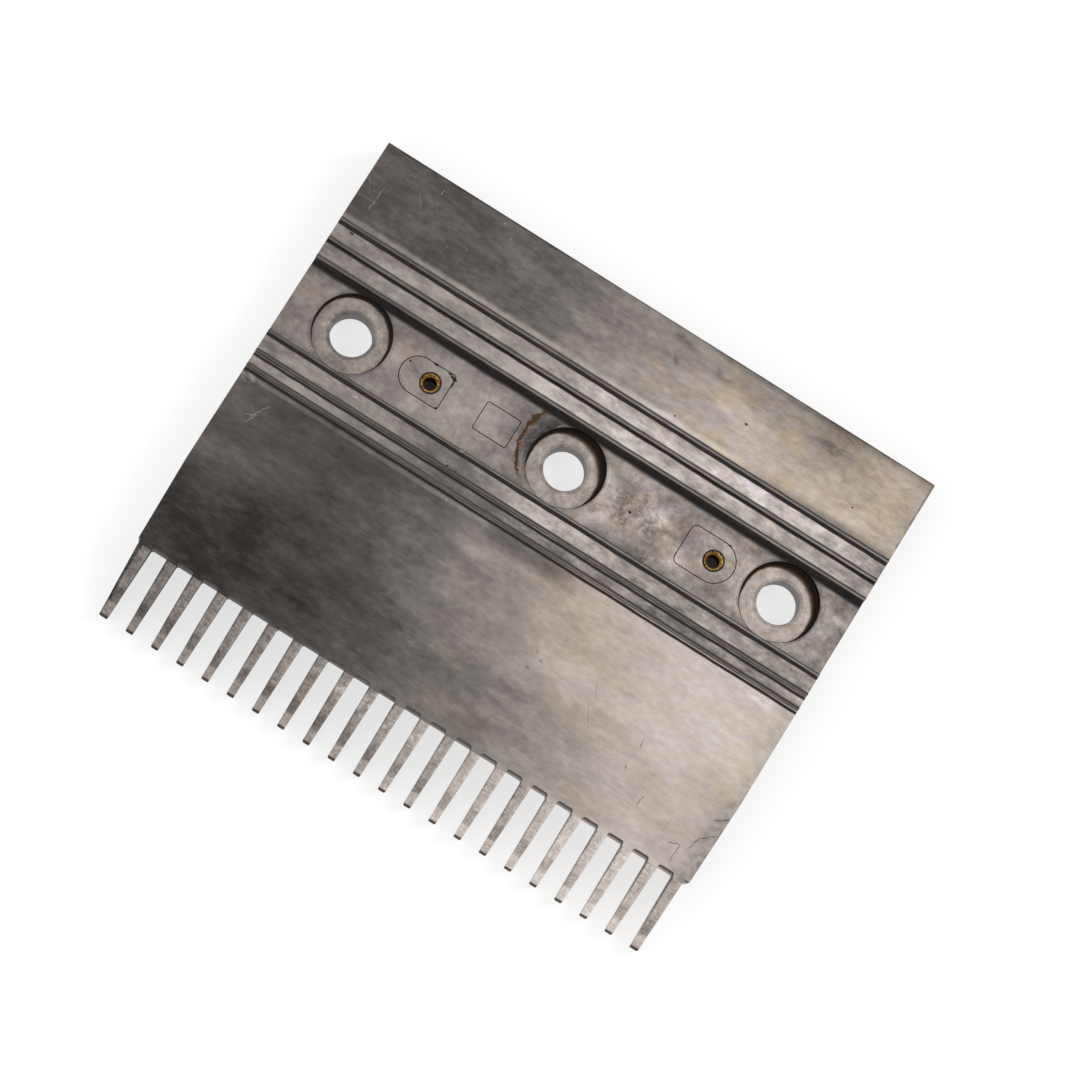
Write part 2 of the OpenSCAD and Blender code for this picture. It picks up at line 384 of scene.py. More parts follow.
def row_end_cutter(side, flare):
    """What is cut away beside the first or the last tooth."""
    root_x = END_TOOTH_X + TOOTH_ROOT_W / 2 + flare
    tip_x = END_TOOTH_X + TOOTH_TIP_W / 2
    far_x = HALF_W + SPARE
    xs = sorted((side * root_x, side * far_x))
    end = block(xs[0], xs[1], TIP_Y - SPARE, ROOT_Y, -SPARE, TREAD_Z + SPARE)
    open_mesh(end)
    pick("VERT", lambda v: near(abs(v.co.x) / MM, root_x) and v.co.y / MM < TIP_Y)
    shift(side * (tip_x - root_x), 0, 0)
    return close_mesh()


def cut_tooth_row(plate):
    centres = [(i - (TOOTH_COUNT - 2) / 2) * TOOTH_PITCH for i in range(TOOTH_COUNT - 1)]
    gaps = copies(gap_cutter(), centres)
    cut(plate, joined([gaps, row_end_cutter(-1, END_TOOTH_FLARE), row_end_cutter(1, 0)]))


def break_tooth_edges(plate):
    row_end = END_TOOTH_X + TOOTH_ROOT_W / 2 + 0.01

    def on_tooth(place):
        return place.y < ROOT_Y + 0.01 and -row_end - END_TOOTH_FLARE < place.x < row_end

    open_mesh(plate)
    bevel(lambda e: sharp(e) and on_tooth(middle(e)), TOOTH_EDGE_R, 2, clamp_overlap=True)
    merge_close()
    close_mesh()


def screw_cutter():
    """Screw hole and counterbore in one, with a broken edge at the channel floor."""
    lip, foot = 0.15, 0.4
    hole = drum(0, 0, CBORE_R, SEAT_Z, FLOOR_Z - lip)
    open_mesh(hole)
    pick("FACE", lambda f: f.normal.z < -0.9)
    bpy.ops.mesh.inset(thickness=(CBORE_R - HOLE_R) * MM)
    lengthen(-SEAT_Z + foot)
    lengthen(-2 * foot, (HOLE_R + 2 * foot) / HOLE_R)
    pick("FACE", lambda f: f.normal.z > 0.9 and near(middle(f).z, FLOOR_Z - lip))
    lengthen(2 * lip, (CBORE_R + 2 * lip) / CBORE_R)
    lengthen(RIB_Z + SPARE - FLOOR_Z)
    bevel(lambda e: sharp(e) and near(middle(e).z, SEAT_Z), 0.35, 3)
    return close_mesh()


def cut_holes(plate):
    cut(plate, copies(screw_cutter(), HOLE_XS))
    pocket = drum(0, 0, INSERT_R + INSERT_ROOM, left_low.z, FLOOR_Z + SPARE, 64)
    cut(plate, copies(pocket, INSERT_XS))


def outline_cutter(x, length, width, corner_r, round_end):
    """Narrow groove along an outline, with a half circle at its round end if it has one."""
    place = mm(x, 0, FLOOR_Z - WITNESS_DEPTH)
    sizes = (length * MM, width * MM, 1)
    groove = fresh(bpy.ops.mesh.primitive_plane_add, sizes, size=1, location=place)
    open_mesh(groove)
    if round_end:
        pick("VERT", lambda v: (v.co.x / MM - x) * round_end > 0)
        bpy.ops.mesh.bevel(offset=(width / 2 - 0.01) * MM, segments=16, affect="VERTICES")
        pick("VERT", lambda v: near((v.co.x / MM - x) * round_end, -length / 2))
    else:
        pick_all()
    bpy.ops.mesh.bevel(offset=corner_r * MM, segments=5, affect="VERTICES")
    pick("FACE", lambda f: True)
    bpy.ops.mesh.inset(thickness=WITNESS_W * MM)
    bpy.ops.mesh.delete(type="FACE")
    pick("FACE", lambda f: True)
    lengthen(WITNESS_DEPTH + SPARE / 4)
    face_outwards()
    return close_mesh()


def pocket_cutter(y0, y1):
    """One pocket of the underside, with round corners, draft and a filleted roof."""
    half = (2 * INNER_HALF_W - (POCKET_COLUMNS - 1) * WEB_W) / POCKET_COLUMNS / 2
    pocket = block(-half, half, y0, y1, -SPARE, POCKET_ROOF_Z)
    open_mesh(pocket)
    pick("VERT", lambda v: v.co.z > 0)
    stretch(1 - 0.25 / half, 1 - 0.5 / (y1 - y0), 1, (0, (y0 + y1) / 2, 0))
    bevel(upright, POCKET_R, 5)
    bevel(lambda e: near(middle(e).z, POCKET_ROOF_Z), 1, 3)
    return close_mesh()


def relief_cutter():
    """Shallow relief under the channel, round the bosses of the screw holes and the inserts."""
    relief = block(-INNER_HALF_W, INNER_HALF_W, FRONT_RIB_Y, REAR_RIB_Y, -SPARE, RELIEF_Z)
    open_mesh(relief)
    bevel(upright, POCKET_R, 5)
    close_mesh()
    bosses = [drum(x, 0, HOLE_BOSS_R, -2 * SPARE, RELIEF_Z + SPARE) for x in HOLE_XS]
    bosses += [drum(x, 0, INSERT_BOSS_R, -2 * SPARE, RELIEF_Z + SPARE, 64) for x in INSERT_XS]
    cut(relief, joined(bosses))
    open_mesh(relief)
    bevel(lambda e: sharp(e) and near(middle(e).z, RELIEF_Z) and runs(e).z < 0.1, 0.8, 3)
    return close_mesh()


def cut_underside(plate):
    step = (2 * INNER_HALF_W + WEB_W) / POCKET_COLUMNS
    xs = [(i - (POCKET_COLUMNS - 1) / 2) * step for i in range(POCKET_COLUMNS)]
    rows = [copies(pocket_cutter(*ys), xs) for ys in (FRONT_POCKETS, REAR_POCKETS)]
    cut(plate, joined(rows + [relief_cutter()]))


def lumps(places):
    """Small uneven lumps, each given by its middle and its three half sizes in mm."""
    made = []
    for x, y, z, *halves in places:
        ball = {"subdivisions": 2, "radius": MM, "location": mm(x, y, z)}
        lump = fresh(bpy.ops.mesh.primitive_ico_sphere_add, halves, **ball)
        for v in lump.data.vertices:
            v.co += Vector([random.uniform(-0.12, 0.12) * half * MM for half in halves])
        made.append(lump)
    return joined(made)


def add_wear(plate):
    """Knocks and pits of use, and the small nibs that the casting die left."""
    edge_z = TREAD_Z + 0.1
    knocks = [(-94.1, 26.4, edge_z, 0.8, 0.35, 0.35), (-99.2, -27.2, edge_z, 0.7, 1.1, 0.5)]
    knocks += [(23.9, -1.1, FLOOR_Z, 0.5, 0.4, 0.4), (39.9, 41.4, BAND_Z + 0.05, 0.4, 0.35, 0.3)]
    knocks += [(-44, 5.2, FLOOR_Z, 0.9, 0.5, 0.3), (-50.6, 6, FLOOR_Z, 0.6, 0.35, 0.3)]
    knocks += [(-31.2, -19.3, edge_z, 0.4, 0.3, 0.3), (-28, -19.4, edge_z, 0.35, 0.3, 0.3)]
    for _ in range(9):
        x = random.uniform(-HALF_W + 6, HALF_W - 6)
        knocks.append((x, REAR_Y + 0.1, BAND_Z - 0.2, random.uniform(0.4, 1.1), 0.45, 0.45))
    for y in RIB_YS:
        for _ in range(5):
            x = random.uniform(-HALF_W + 4, HALF_W - 4)
            knocks.append((x, y - RIB_TOP_W / 2, RIB_Z + 0.1, random.uniform(0.3, 1), 0.22, 0.25))
    for _ in range(7):
        x = random.choice((-1, 1)) * (HALF_W + 0.15)
        knocks.append((x, random.uniform(34, 54), BAND_Z, 0.4, random.uniform(0.4, 0.9), 0.3))
    cut(plate, lumps(knocks))
    nibs = (
        (-86, -10.2, FLOOR_Z - 0.05, 0.45, 0.35, 0.3),
        (-84.6, -9.6, FLOOR_Z - 0.05, 0.6, 0.35, 0.22),
        (-85.4, -11.6, FLOOR_Z - 0.1, 0.5, 0.6, 0.25),
        (-66.4, -16.5, TREAD_Z - 0.35, 1.2, 0.9, 0.5),
        (-29.9, -13.2, RIB_Z - 0.35, 0.5, 0.5, 0.3),
    )
    cut(plate, lumps(nibs), "UNION")


def make_casting():
    plate = bare_plate()
    cut_tooth_row(plate)
    break_tooth_edges(plate)
    cut_holes(plate)
    cut(plate, joined([outline_cutter(*mark) for mark in WITNESS_MARKS]))
    cut_underside(plate)
    add_wear(plate)
    plate.name = "casting"
    smooth(plate)
    finish_with(plate, "WEIGHTED_NORMAL", keep_sharp=True, weight=100)
    return plate


# Threaded inserts


def tap(z0, z1):
    """A cutting tap on the Z axis: a screw of one thread ridge, closed flat at both ends."""
    half = THREAD_PITCH / 2
    place = mm(THREAD_CORE_R, 0, z0 - 2 * half)
    ring = {"vertices": 4, "radius": half * MM, "rotation": (math.pi / 2, 0, 0)}
    thread = fresh(bpy.ops.mesh.primitive_circle_add, location=place, **ring)
    open_mesh(thread)
    pick("VERT", lambda v: v.co.x / MM < THREAD_CORE_R - half / 2)
    bpy.ops.mesh.delete(type="VERT")
    close_mesh()
    turns = math.ceil((z1 - z0) / THREAD_PITCH) + 2
    turn = {"screw_offset": THREAD_PITCH * MM, "iterations": turns, "steps": 40, "render_steps": 40}
    finish_with(thread, "SCREW", use_merge_vertices=True, **turn)
    open_mesh(thread)
    merge_close()
    for z, up in ((z0, -1), (z1, 1)):
        pick_all()
        end = {"plane_co": mm(0, 0, z), "plane_no": (0, 0, up)}
        bpy.ops.mesh.bisect(use_fill=True, clear_outer=True, **end)
    face_outwards()
    return close_mesh()


def make_insert(name, node, x):
    """Brass bush with two retaining grooves, a countersunk mouth and a cut M5 thread."""
    z0, z1 = left_low.z, FLOOR_Z
    third = (z1 - z0) / 3
    bush = drum(0, 0, INSERT_R, z0, z1, 72)
    open_mesh(bush)
    for z in (z0 + third, z0 + 2 * third):
        for edge_z in (z - INSERT_GROOVE / 2, z + INSERT_GROOVE / 2):
            pick_all()
            bpy.ops.mesh.bisect(plane_co=mm(0, 0, edge_z), plane_no=(0, 0, 1))
        pick("FACE", lambda f: near(middle(f).z, z) and abs(f.normal.z) < 0.1)
        inwards = {"value": -INSERT_GROOVE * MM}
        bpy.ops.mesh.extrude_region_shrink_fatten(TRANSFORM_OT_shrink_fatten=inwards)
    bevel(lambda e: sharp(e) and runs(e).z < 0.1 and middle(e).xy.length > INSERT_R - 0.1, 0.12, 2)
    close_mesh()
    cut(bush, tap(z0 - 0.3, z1 + 0.3), solver="EXACT")
    mouth_r = THREAD_CORE_R - 0.2
    mouth = drum(0, 0, mouth_r, z1 - 0.75, z1 + 0.25, 72)
    open_mesh(mouth)
    pick("VERT", lambda v: v.co.z / MM > z1)
    grow = (THREAD_CORE_R + 0.75) / mouth_r
    stretch(grow, grow, 1, (0, 0, z1))
    close_mesh()
    cut(bush, mouth, solver="EXACT")
    open_mesh(bush)
    merge_close()
    close_mesh()
    bush.data.transform(Matrix.Translation(mm(x, 0, 0)))
    bush.name = name
    smooth(bush)
    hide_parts(node)
    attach(bush, "root")
    return bush


# Nodes


def feed(value, socket):
    """Links a node's output to a socket, or sets the socket to a plain value."""
    if isinstance(value, Value):
        socket.id_data.links.new(value.socket, socket)
    else:
        socket.default_value = value


def add_node(tree, kind, inputs, **settings):
    node = tree.nodes.new("ShaderNode" + kind)
    for name, value in settings.items():
        setattr(node, name, value)
    for name, value in inputs.items():
        feed(value, node.inputs[name])
    return node


def node_value(tree, kind, inputs, output=0, **settings):
    """Adds a node and gives one of its outputs."""
    return Value(add_node(tree, kind, inputs, **settings).outputs[output])


def reckon(kind, *inputs):
    """One kind of sum of node outputs and numbers."""
    tree = next(value.socket.id_data for value in inputs if isinstance(value, Value))
    return node_value(tree, "Math", dict(enumerate(inputs)), operation=kind)


class Value:
    """What a node gives out, which can be added, subtracted, multiplied and divided."""

    def __init__(self, socket):
        self.socket = socket

    def __add__(self, other):
        return reckon("ADD", self, other)

    def __sub__(self, other):
        return reckon("SUBTRACT", self, other)

    def __rsub__(self, other):
        return reckon("SUBTRACT", other, self)

    def __mul__(self, other):
        return reckon("MULTIPLY", self, other)

    def __truediv__(self, other):
        return reckon("DIVIDE", self, other)


def tone(red, green, blue):
    """A colour as a screen shows it, from 0 to 255, for a node's socket."""
    parts = [c / 255 for c in (red, green, blue)]
    return [c / 12.92 if c < 0.04045 else ((c + 0.055) / 1.055) ** 2.4 for c in parts] + [1]


# Aluminium from black grime to bright metal, by how light it looks from 0 to 1
METAL_TONES = (
    (0, (7, 6, 6)),
    (0.2, (53, 50, 48)),
    (0.35, (92, 87, 84)),
    (0.5, (132, 125, 121)),
    (0.65, (174, 164, 157)),
    (0.8, (213, 202, 194)),
    (1, (252, 247, 243)),
)


class Finish:
    """One finish, made of nodes that read the place on the part in millimetres."""

    def __init__(self, name, metallic):
        self.material = bpy.data.materials.new(name)
        self.material.use_nodes = True
        self.tree = self.material.node_tree
        self.shader = self.tree.nodes["Principled BSDF"]
        self.shader.inputs["Metallic"].default_value = metallic
        place = self.value("TexCoord", {}, "Object")
        self.place = self.spread(place, (1 / MM, 1 / MM, 1 / MM))
        self.x, self.y, self.z = self.axes(self.place)
        self.wobble = self.grain(1.2, 1.5)

    def value(self, kind, inputs, output=0, **settings):
        return node_value(self.tree, kind, inputs, output, **settings)

    def axes(self, place):
        return [Value(out) for out in add_node(self.tree, "SeparateXYZ", {0: place}).outputs]

    def wear(self, colour, roughness, relief):
        inputs = {"Base Color": colour, "Roughness": roughness, "Normal": relief}
        for name, value in inputs.items():
            feed(value, self.shader.inputs[name])
        return self.material

    def either(self, *parts):
        """The highest of several values."""
        result = parts[0]
        for part in parts[1:]:
            result = reckon("MAXIMUM", result, part)
        return result

    def spread(self, place, scale, offset=(0, 0, 0), turn=0):
        inputs = {"Vector": place, "Scale": scale, "Location": offset, "Rotation": (0, 0, turn)}
        return self.value("Mapping", inputs)

    def cloud(self, size, along=1, detail=3, rough=0.5, warp=0, turn=0):
        """Soft noise from 0 to 1, its spots about this size in mm, drawn out along X."""
        place = self.spread(self.place, (1, 1, 1), turn=-turn) if turn else self.place
        offset = [random.uniform(0, 50) for _ in range(3)]
        place = self.spread(place, (1 / size / along, 1 / size, 1 / size), offset)
        inputs = {"Vector": place, "Scale": 1, "Detail": detail, "Roughness": rough, "Distortion": warp}
        return self.value("TexNoise", inputs)

    def grain(self, amount, size, **settings):
        """The same noise as a small change up and down."""
        return (self.cloud(size, **settings) - 0.5) * amount

    def patches(self, size, low, high, start=0, end=1, **settings):
        """The same noise as patches."""
        return self.step(self.cloud(size, **settings), low, high, start, end)

    def step(self, value, low, high, start=0, end=1):
        """Goes smoothly from start to end as the value goes from low to high."""
        inputs = {"Value": value, "From Min": low, "From Max": high, "To Min": start, "To Max": end}
        return self.value("MapRange", inputs, interpolation_type="SMOOTHSTEP")

    def span(self, value, low, high, soft):
        """1 between two values, falling to 0 over a soft stretch outside them."""
        return self.step(value, low - soft, low) * self.step(value, high, high + soft, 1, 0)

    def line(self, value, centre, half, soft):
        """1 within half of a centre value, falling to 0 over the soft stretch beyond."""
        return self.step(reckon("ABSOLUTE", value - centre, 0), half, half + soft, 1, 0)

    def reach(self, x, y, long=1, wide=1):
        """Distance from a point of the plate in mm, or in shares of a long and a wide half size."""
        flat = self.spread(self.place, (1 / long, 1 / wide, 0))
        inputs = {0: flat, 1: (x / long, y / wide, 0)}
        return self.value("VectorMath", inputs, "Value", operation="DISTANCE")

    def spot(self, x, y, long, wide=None, edge=0.5):
        """1 in the middle of an oval spot, 0 outside it."""
        return self.step(self.reach(x, y, long, wide or long), 1 - edge, 1, 1, 0)

    def spots(self, *places):
        return self.either(*[self.spot(*place) for place in places])

    def scratch(self, x0, y0, x1, y1, half=0.07, soft=0.16):
        """1 on a straight scratch between two points."""
        length = math.hypot(x1 - x0, y1 - y0)
        way = math.atan2(y1 - y0, x1 - x0)
        start = Matrix.Rotation(-way, 3, "Z") @ Vector((-x0, -y0, 0))
        along, across, _ = self.axes(self.spread(self.place, (1, 1, 1), start, -way))
        return self.line(across + self.wobble, 0, half, soft) * self.span(along, 0, length, 0.6)

    def scratches(self, *marks):
        return self.either(*[self.scratch(*mark) for mark in marks])

    def blend(self, mask, a, b):
        """One level where the mask is 0, another where it is 1."""
        return self.value("Mix", {0: mask, 2: a, 3: b}, data_type="FLOAT")

    def tint(self, mask, colour, shade):
        """Stains a colour where the mask is 1."""
        inputs = {0: mask, 6: colour, 7: tone(*shade)}
        return self.value("Mix", inputs, 2, data_type="RGBA", blend_type="MULTIPLY")

    def ramp(self, value, stops):
        """Colours along a value from 0 to 1."""
        node = add_node(self.tree, "ValToRGB", {"Fac": value})
        marks = node.color_ramp.elements
        while len(marks) < len(stops):
            marks.new(1)
        for mark, (place, colour) in zip(marks, stops):
            mark.position = place
            mark.color = colour
        return Value(node.outputs["Color"])

    def tones(self, value, stops):
        """Colours as a screen shows them, along a value from 0 to 1."""
        return self.ramp(value, [(place, tone(*colour)) for place, colour in stops])

    def metal(self, lightness):
        return self.tones(lightness, METAL_TONES)

    def across(self, *stops):
        """A level that changes along the plate: pairs of an x in mm and a percentage."""
        share = self.value("MapRange", {"Value": self.x, "From Min": -100, "From Max": 100})
        return self.ramp(share, [((x + 100) / 200, [percent / 100] * 3 + [1]) for x, percent in stops])

    def bump(self, height, depth):
        """Relief of this depth in mm."""
        return self.value("Bump", {"Height": height, "Distance": depth * MM})

    def rib_lines(self, off, half, soft):
        """1 on a line along each rib, this far behind its rubbed front edge."""
        wavy = self.y + self.grain(0.6, 3, along=3)
        return self.either(*[self.line(wavy, edge + off, half, soft) for edge in RUBBED_YS])

    def dirt_and_shadow_at_ribs(self, level):
        """Lays dirt and painted shadow along the ribs: a dark line in front, partly painted cast shadow
        and partly dirt, and a greyer one behind, partly painted shade in the corner and partly dirt.
        """
        wave = self.grain(0.5, 6, along=3) + 0.85
        grey = self.across((-100, 34), (0, 30), (100, 25))
        # Greyer line behind each rib: painted shade in the corner, with dirt
        level = self.blend(self.rib_lines(0.72, 0.14, 0.42) * wave, level, grey)
        # Dark line in front of each rib: painted cast shadow, with dirt
        return self.blend(self.rib_lines(-0.92, 0.22, 0.42) * 0.97, level, 0.15)

    def round_hole(self, turn):
        """Distance from the nearest screw hole, and how much a point lies on its turned side."""
        near_x = reckon("WRAP", self.x, HOLE_XS[2] / 2, HOLE_XS[0] / 2)
        far = reckon("SQRT", near_x * near_x + self.y * self.y, 0)
        along = near_x * math.cos(turn) + self.y * math.sin(turn)
        return far, along / self.either(far, 0.1)


# Finishes


def worn(f, level, *power):
    """Finishes a worn top: clouds, blotches, brush marks along X and a few hair lines."""
    clouds = f.grain(0.1, 22, along=2.2, warp=0.5)
    blotches = f.grain(0.42, 5.5, along=2.4, detail=4)
    mottle = f.grain(0.34, 1.9, along=1.6, detail=5, rough=0.58)
    streaks = f.grain(0.19, 0.5, along=12, detail=4, rough=0.6)
    fine = f.grain(0.13, 0.24, along=20, detail=2)
    hairs = f.line(f.cloud(6, along=9, detail=1), 0.5, 0.001, 0.003)
    hairs = hairs * f.patches(9, 0.52, 0.62, along=2) * 0.05
    marks = (blotches * f.step(f.x, 10, 60, 1, 0.7) + mottle + streaks + fine) * f.across(*power)
    relief = f.bump(streaks + fine + mottle * 0.5, 0.025)
    rough = f.grain(0.28, 9, along=2, detail=4) + 0.44 + blotches * -0.18
    f.shader.inputs["Anisotropic"].default_value = 0.4
    feed(f.value("CombineXYZ", {"Y": 1}), f.shader.inputs["Tangent"])
    return level + clouds + marks + hairs, rough, relief


def band_finish():
    """Rear band: worn smooth, dark at the left and light at the right, partly a dark film and partly a
    painted reflection of light from the right, tan with brown blotches at the right.
    """
    f = Finish("worn_rear_band", 0.85)
    # Dark at the left, light at the right: partly a dark film, partly painted reflection of light from
    # the right
    level = f.across(
        (-100, 35), (-70, 36), (-48, 41), (-36, 42), (-24, 46), (-12, 53), (0, 57), (15, 63), (30, 71),
        (46, 72), (62, 70), (85, 72), (100, 69),
    )
    rear = f.step(f.y + f.grain(5, 9, along=2), 42, 54)
    level += rear * f.span(f.x, 28, 66, 28) * -0.13
    level += f.step(f.y, 33, 39, 1, 0) * f.step(f.x, -45, -15) * 0.045
    # The sloping front edge of the band is lighter: a painted highlight on the rounded edge
    peak = f.across(
        (-100, 50), (-84, 56), (-60, 61), (-40, 63), (-14, 62), (-2, 75), (24, 86), (38, 82), (52, 72),
        (66, 64), (84, 60), (100, 62),
    )
    wavy = f.y + f.grain(0.8, 5, along=3, detail=4)
    level = f.blend(f.step(wavy, BAND_FOOT_Y + 0.5, BAND_TOP_Y + 0.6, 1, 0), level, peak)
    level += f.line(wavy, BAND_TOP_Y + 0.7, 0.2, 0.8) * -0.02
    level, rough, relief = worn(f, level, (-100, 54), (-10, 66), (100, 74))
    bright = f.scratches((-93.7, 35.5, -93.3, 43.6)) * f.patches(2, 0.3, 0.5) * 0.2
    level = level + bright + f.scratches((-77.2, 52.9, -77.3, 51.6)) * 0.22
    faint = f.scratches(
        (-98.6, 44, -96.4, 40.1), (-83.1, 49.5, -82.7, 47.2), (-82.7, 47.2, -80.4, 44.5),
        (-76.8, 48.7, -75.7, 46.4),
    )
    dots = f.spots((-67.2, 38.5, 0.4), (-61.6, 40.9, 0.3, 0.8), (-51.9, 51.3, 0.4), (-56, 54.4, 0.35))
    level = level + faint * 0.07 + dots * 0.14
    strokes = f.scratches((9.6, 48.5, 12, 45.4, 0.1, 0.6), (68.4, 54.9, 71.2, 54.2, 0.2, 0.5))
    edge = f.step(f.y + f.grain(1.6, 3, along=2), 54, 56) * f.step(f.x, 5, 35) * -0.1
    smudges = f.spots((10.8, 53.5, 7, 2.4, 1), (26, 50, 5, 2, 1), (66, 49, 9, 4, 1))
    smudges = smudges * f.patches(2.4, 0.3, 0.6, detail=4) * -0.11
    specks = f.patches(0.8, 0.72, 0.78, along=1.5, detail=1) * f.step(f.x, 0, 30) * -0.12
    streak = f.spot(12, 43, 30, 2.6, 0.8) * f.patches(2, 0.38, 0.6, along=3, detail=5)
    grit = f.spot(20, 45, 17, 4, 0.6) * f.patches(0.55, 0.66, 0.74, detail=1) * -0.13
    level = level + strokes * -0.05 + smudges + specks + edge + streak * 0.045 + grit
    # Darker along the rounded rear and right edges: painted shade
    rim = f.either(f.step(f.y, REAR_Y - 0.9, REAR_Y - 0.3), f.step(f.x, HALF_W - 1, HALF_W - 0.3))
    level += rim * f.patches(5, 0.3, 0.5, along=2) * -0.16
    pits = f.spots((40, 41.3, 0.7, 0.45), (81.3, 36.9, 0.4), (19.9, 31.6, 0.4))
    colour = f.metal(f.dirt_and_shadow_at_ribs(f.blend(pits * 0.7, level, 0.16)))
    tan = f.patches(11, 0.48, 0.62, along=1.8, detail=4) * f.step(f.x, -20, 20)
    colour = f.tint(f.either(tan, f.step(f.x, 30, 80, 0, 0.6)) * 0.9, colour, (255, 248, 230))
    colour = f.tint(streak * 0.7, colour, (255, 243, 220))
    colour = f.tint(f.spot(9, 53.6, 5, 2, 1) * 0.6, colour, (214, 200, 214))
    brown = f.patches(4, 0.56, 0.7, along=1.8, detail=5, rough=0.6) * f.step(f.x, 0, 50)
    return f.wear(f.tint(brown * 0.55, colour, (240, 224, 205)), rough, relief)


def front_finish():
    """Front stretch and its slope: worn smooth, darkest at the front left, lightest at the right, partly
    a dark film and partly a painted reflection of light from the right.
    """
    f = Finish("worn_front", 0.85)
    # Dark at the left, light at the right: partly a dark film, partly painted reflection of light from
    # the right
    top = f.across(
        (-100, 36), (-84, 35), (-60, 31), (-48, 33), (-38, 36), (-24, 43), (-12, 52), (0, 55), (12, 61),
        (24, 69), (36, 74), (60, 77), (74, 80), (90, 80), (100, 77),
    )
    slope = f.across(
        (-100, 22), (-70, 21), (-36, 27), (-24, 34), (-12, 40), (12, 48), (24, 53), (36, 59), (50, 65),
        (60, 71), (76, 76), (88, 73), (100, 64),
    )
    level = f.blend(f.step(f.y + f.grain(9, 18, along=2), -74, -50), slope, top)
    shade = f.step(f.y, -34.5, -29) * f.span(f.x, -5, 14, 10) * -0.14
    lip = f.line(f.y, RUBBED_YS[0] - 2.3, 0.35, 0.6) * f.step(f.x, -30, 0, 0.1, 0)
    level = level + shade + lip + f.spot(-12, -36.5, 10, 4, 1) * 0.08
    level, rough, relief = worn(f, level, (-100, 50), (-20, 56), (20, 58), (60, 56), (100, 56))
    pale = f.spot(-97, -28.5, 5, 3.5, 0.8) * f.patches(1.6, 0.42, 0.56, detail=4)
    pale = f.either(pale, f.spot(86, -29, 12, 2.4, 1) * f.patches(1, 0.36, 0.66, along=2.5, detail=5))
    fork = [(-86.9, -33.4, -89.9, -38.2), (-88.6, -37.4, -91.6, -38.9), (-88.8, -37.6, -90.2, -40.6)]
    light = f.either(f.scratches(*fork), f.spots((-25.8, -28.4, 0.4), (70.9, -37.8, 0.5, 0.3, 1)))
    level = level + pale * 0.13 + light * 0.16
    cracks = f.scratches(
        (87.2, -81, 89.9, -80.3), (90.1, -80.5, 90.1, -85.6), (93.2, -79.2, 94.4, -75.3),
        (94.4, -75.3, 97.9, -72.2), (64.1, -58.8, 64.3, -61.3), (63.5, -68.2, 64.1, -69.6),
        (73.1, -73.6, 72.4, -76.4), (95, -68.5, 98.6, -66),
    )
    faint = f.scratches((42.3, -50.5, 45.2, -56.5), (44.2, -58.6, 47.5, -64.7), (83.9, -75, 83.3, -79))
    dots = f.spots(
        (14.7, -68.2, 0.5), (22.3, -58.9, 1, 0.6), (24.9, -55, 1.1, 0.7), (22.5, -53.3, 0.7),
        (-3.4, -77.4, 0.4), (43.6, -81.6, 0.45), (63.9, -68.8, 0.5),
    )
    dots = dots * f.patches(0.7, 0.35, 0.55) * -0.14
    cracks = cracks * f.patches(1.8, 0.26, 0.5, detail=4) * -0.24
    specks = f.patches(0.9, 0.76, 0.82, along=1.5, detail=1) * f.step(f.x, -60, 20, 0.3, 1) * -0.1
    level = level + cracks + faint * -0.07 + dots + specks
    edge = f.step(f.x, 92, 99.5) * f.step(f.y, -84, -45, 1, 0.3) * f.patches(3.5, 0.42, 0.6, detail=4)
    root = f.step(f.y + f.grain(1.5, 3), SLOPE_START_Y + 0.2, SLOPE_START_Y + 2.2, 1, 0) * 0.03
    colour = f.metal(f.dirt_and_shadow_at_ribs(level + edge * -0.16 + root))
    tan = f.spots((93, -58, 10, 10, 1), (90, -42, 9, 6, 1), (72, -68, 8, 6, 1))
    tan = tan * f.patches(5, 0.42, 0.58, along=2, detail=4)
    tan = f.either(tan, f.patches(15, 0.5, 0.66, along=2, detail=4) * f.step(f.x, -20, 20) * 0.5)
    return f.wear(f.tint(tan * 0.85, colour, (255, 247, 229)), rough, relief)


